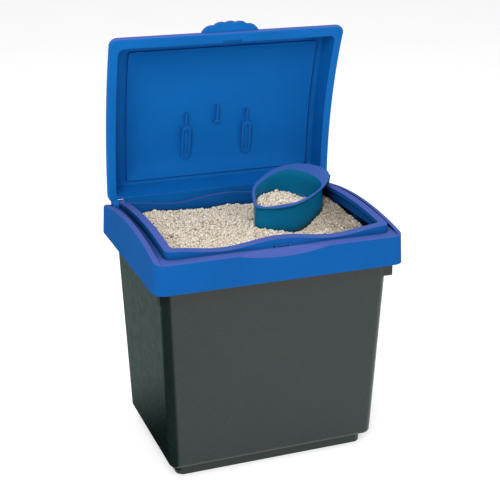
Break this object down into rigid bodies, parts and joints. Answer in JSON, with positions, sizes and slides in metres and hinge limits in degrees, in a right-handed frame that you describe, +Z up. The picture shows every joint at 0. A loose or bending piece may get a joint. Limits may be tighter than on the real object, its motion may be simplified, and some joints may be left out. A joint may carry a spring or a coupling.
{
  "type": "grit and salt bin",
  "caption": "Tapered tub with a clip-on collar, a hinged domed lid with a finger tab, a load of grit and a lift-out hand scoop.",
  "frame": {"origin": "centre of the foot's underside, on the floor", "axes": "+Z up; -Y is the front, where the lid's tab comes down; +X is the right-hand side seen from the front"},
  "size_m": [0.43, 0.3669, 0.7253],
  "materials": {
    "tub_plastic": "satin charcoal, fine moulded grain",
    "lid_plastic": "satin mid blue",
    "pin_plastic": "plain black",
    "scoop_plastic": "satin teal",
    "grit": "dry loose mineral grains"
  },
  "bodies": {
    "bin": {"tub": "tub_plastic", "collar": "lid_plastic", "hinge_pin_left": "pin_plastic", "hinge_pin_right": "pin_plastic", "grit_fill": "grit"},
    "lid": {"lid": "lid_plastic"},
    "scoop": {"scoop": "scoop_plastic", "scoop_grit": "grit"}
  },
  "joints": [
    {"name": "lid_hinge", "type": "hinge", "parent": "bin", "child": "lid", "pos_m": [0, 0.136, 0.4067], "axis": [-1, 0, 0], "range_deg": [-80, 20]},
    {"name": "scoop_lift", "type": "slide", "parent": "bin", "child": "scoop", "axis": [0, 0, 1], "range_m": [0, 0.2]}
  ]
}
